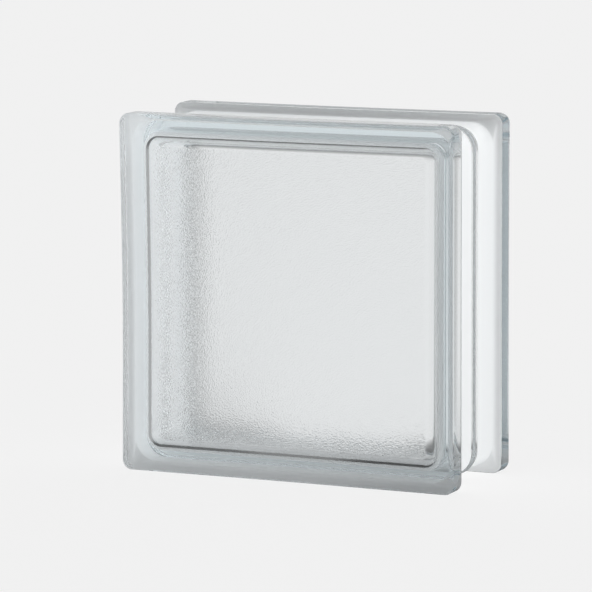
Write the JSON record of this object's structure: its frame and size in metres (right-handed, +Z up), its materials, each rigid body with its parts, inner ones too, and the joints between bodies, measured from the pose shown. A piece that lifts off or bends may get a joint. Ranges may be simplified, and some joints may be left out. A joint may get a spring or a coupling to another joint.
{
  "type": "glass block",
  "caption": "Square hollow glass block, pressed and fused, with clear finely grained panes and a mortar channel round its edge, for walls that let light through.",
  "frame": {"origin": "middle of the underside, on the floor that the plate rims rest on", "axes": "+X along the width, +Y through the depth from the front face to the back face, +Z up"},
  "size_m": [0.19, 0.08, 0.19],
  "materials": {
    "clear_glass": "clear pressed glass with a faint grey-green tint, smooth outside, with a fine grain on the panes' inner faces and a milky finish in the edge channel"
  },
  "bodies": {
    "root": {"glass_block": "clear_glass"}
  },
  "joints": []
}
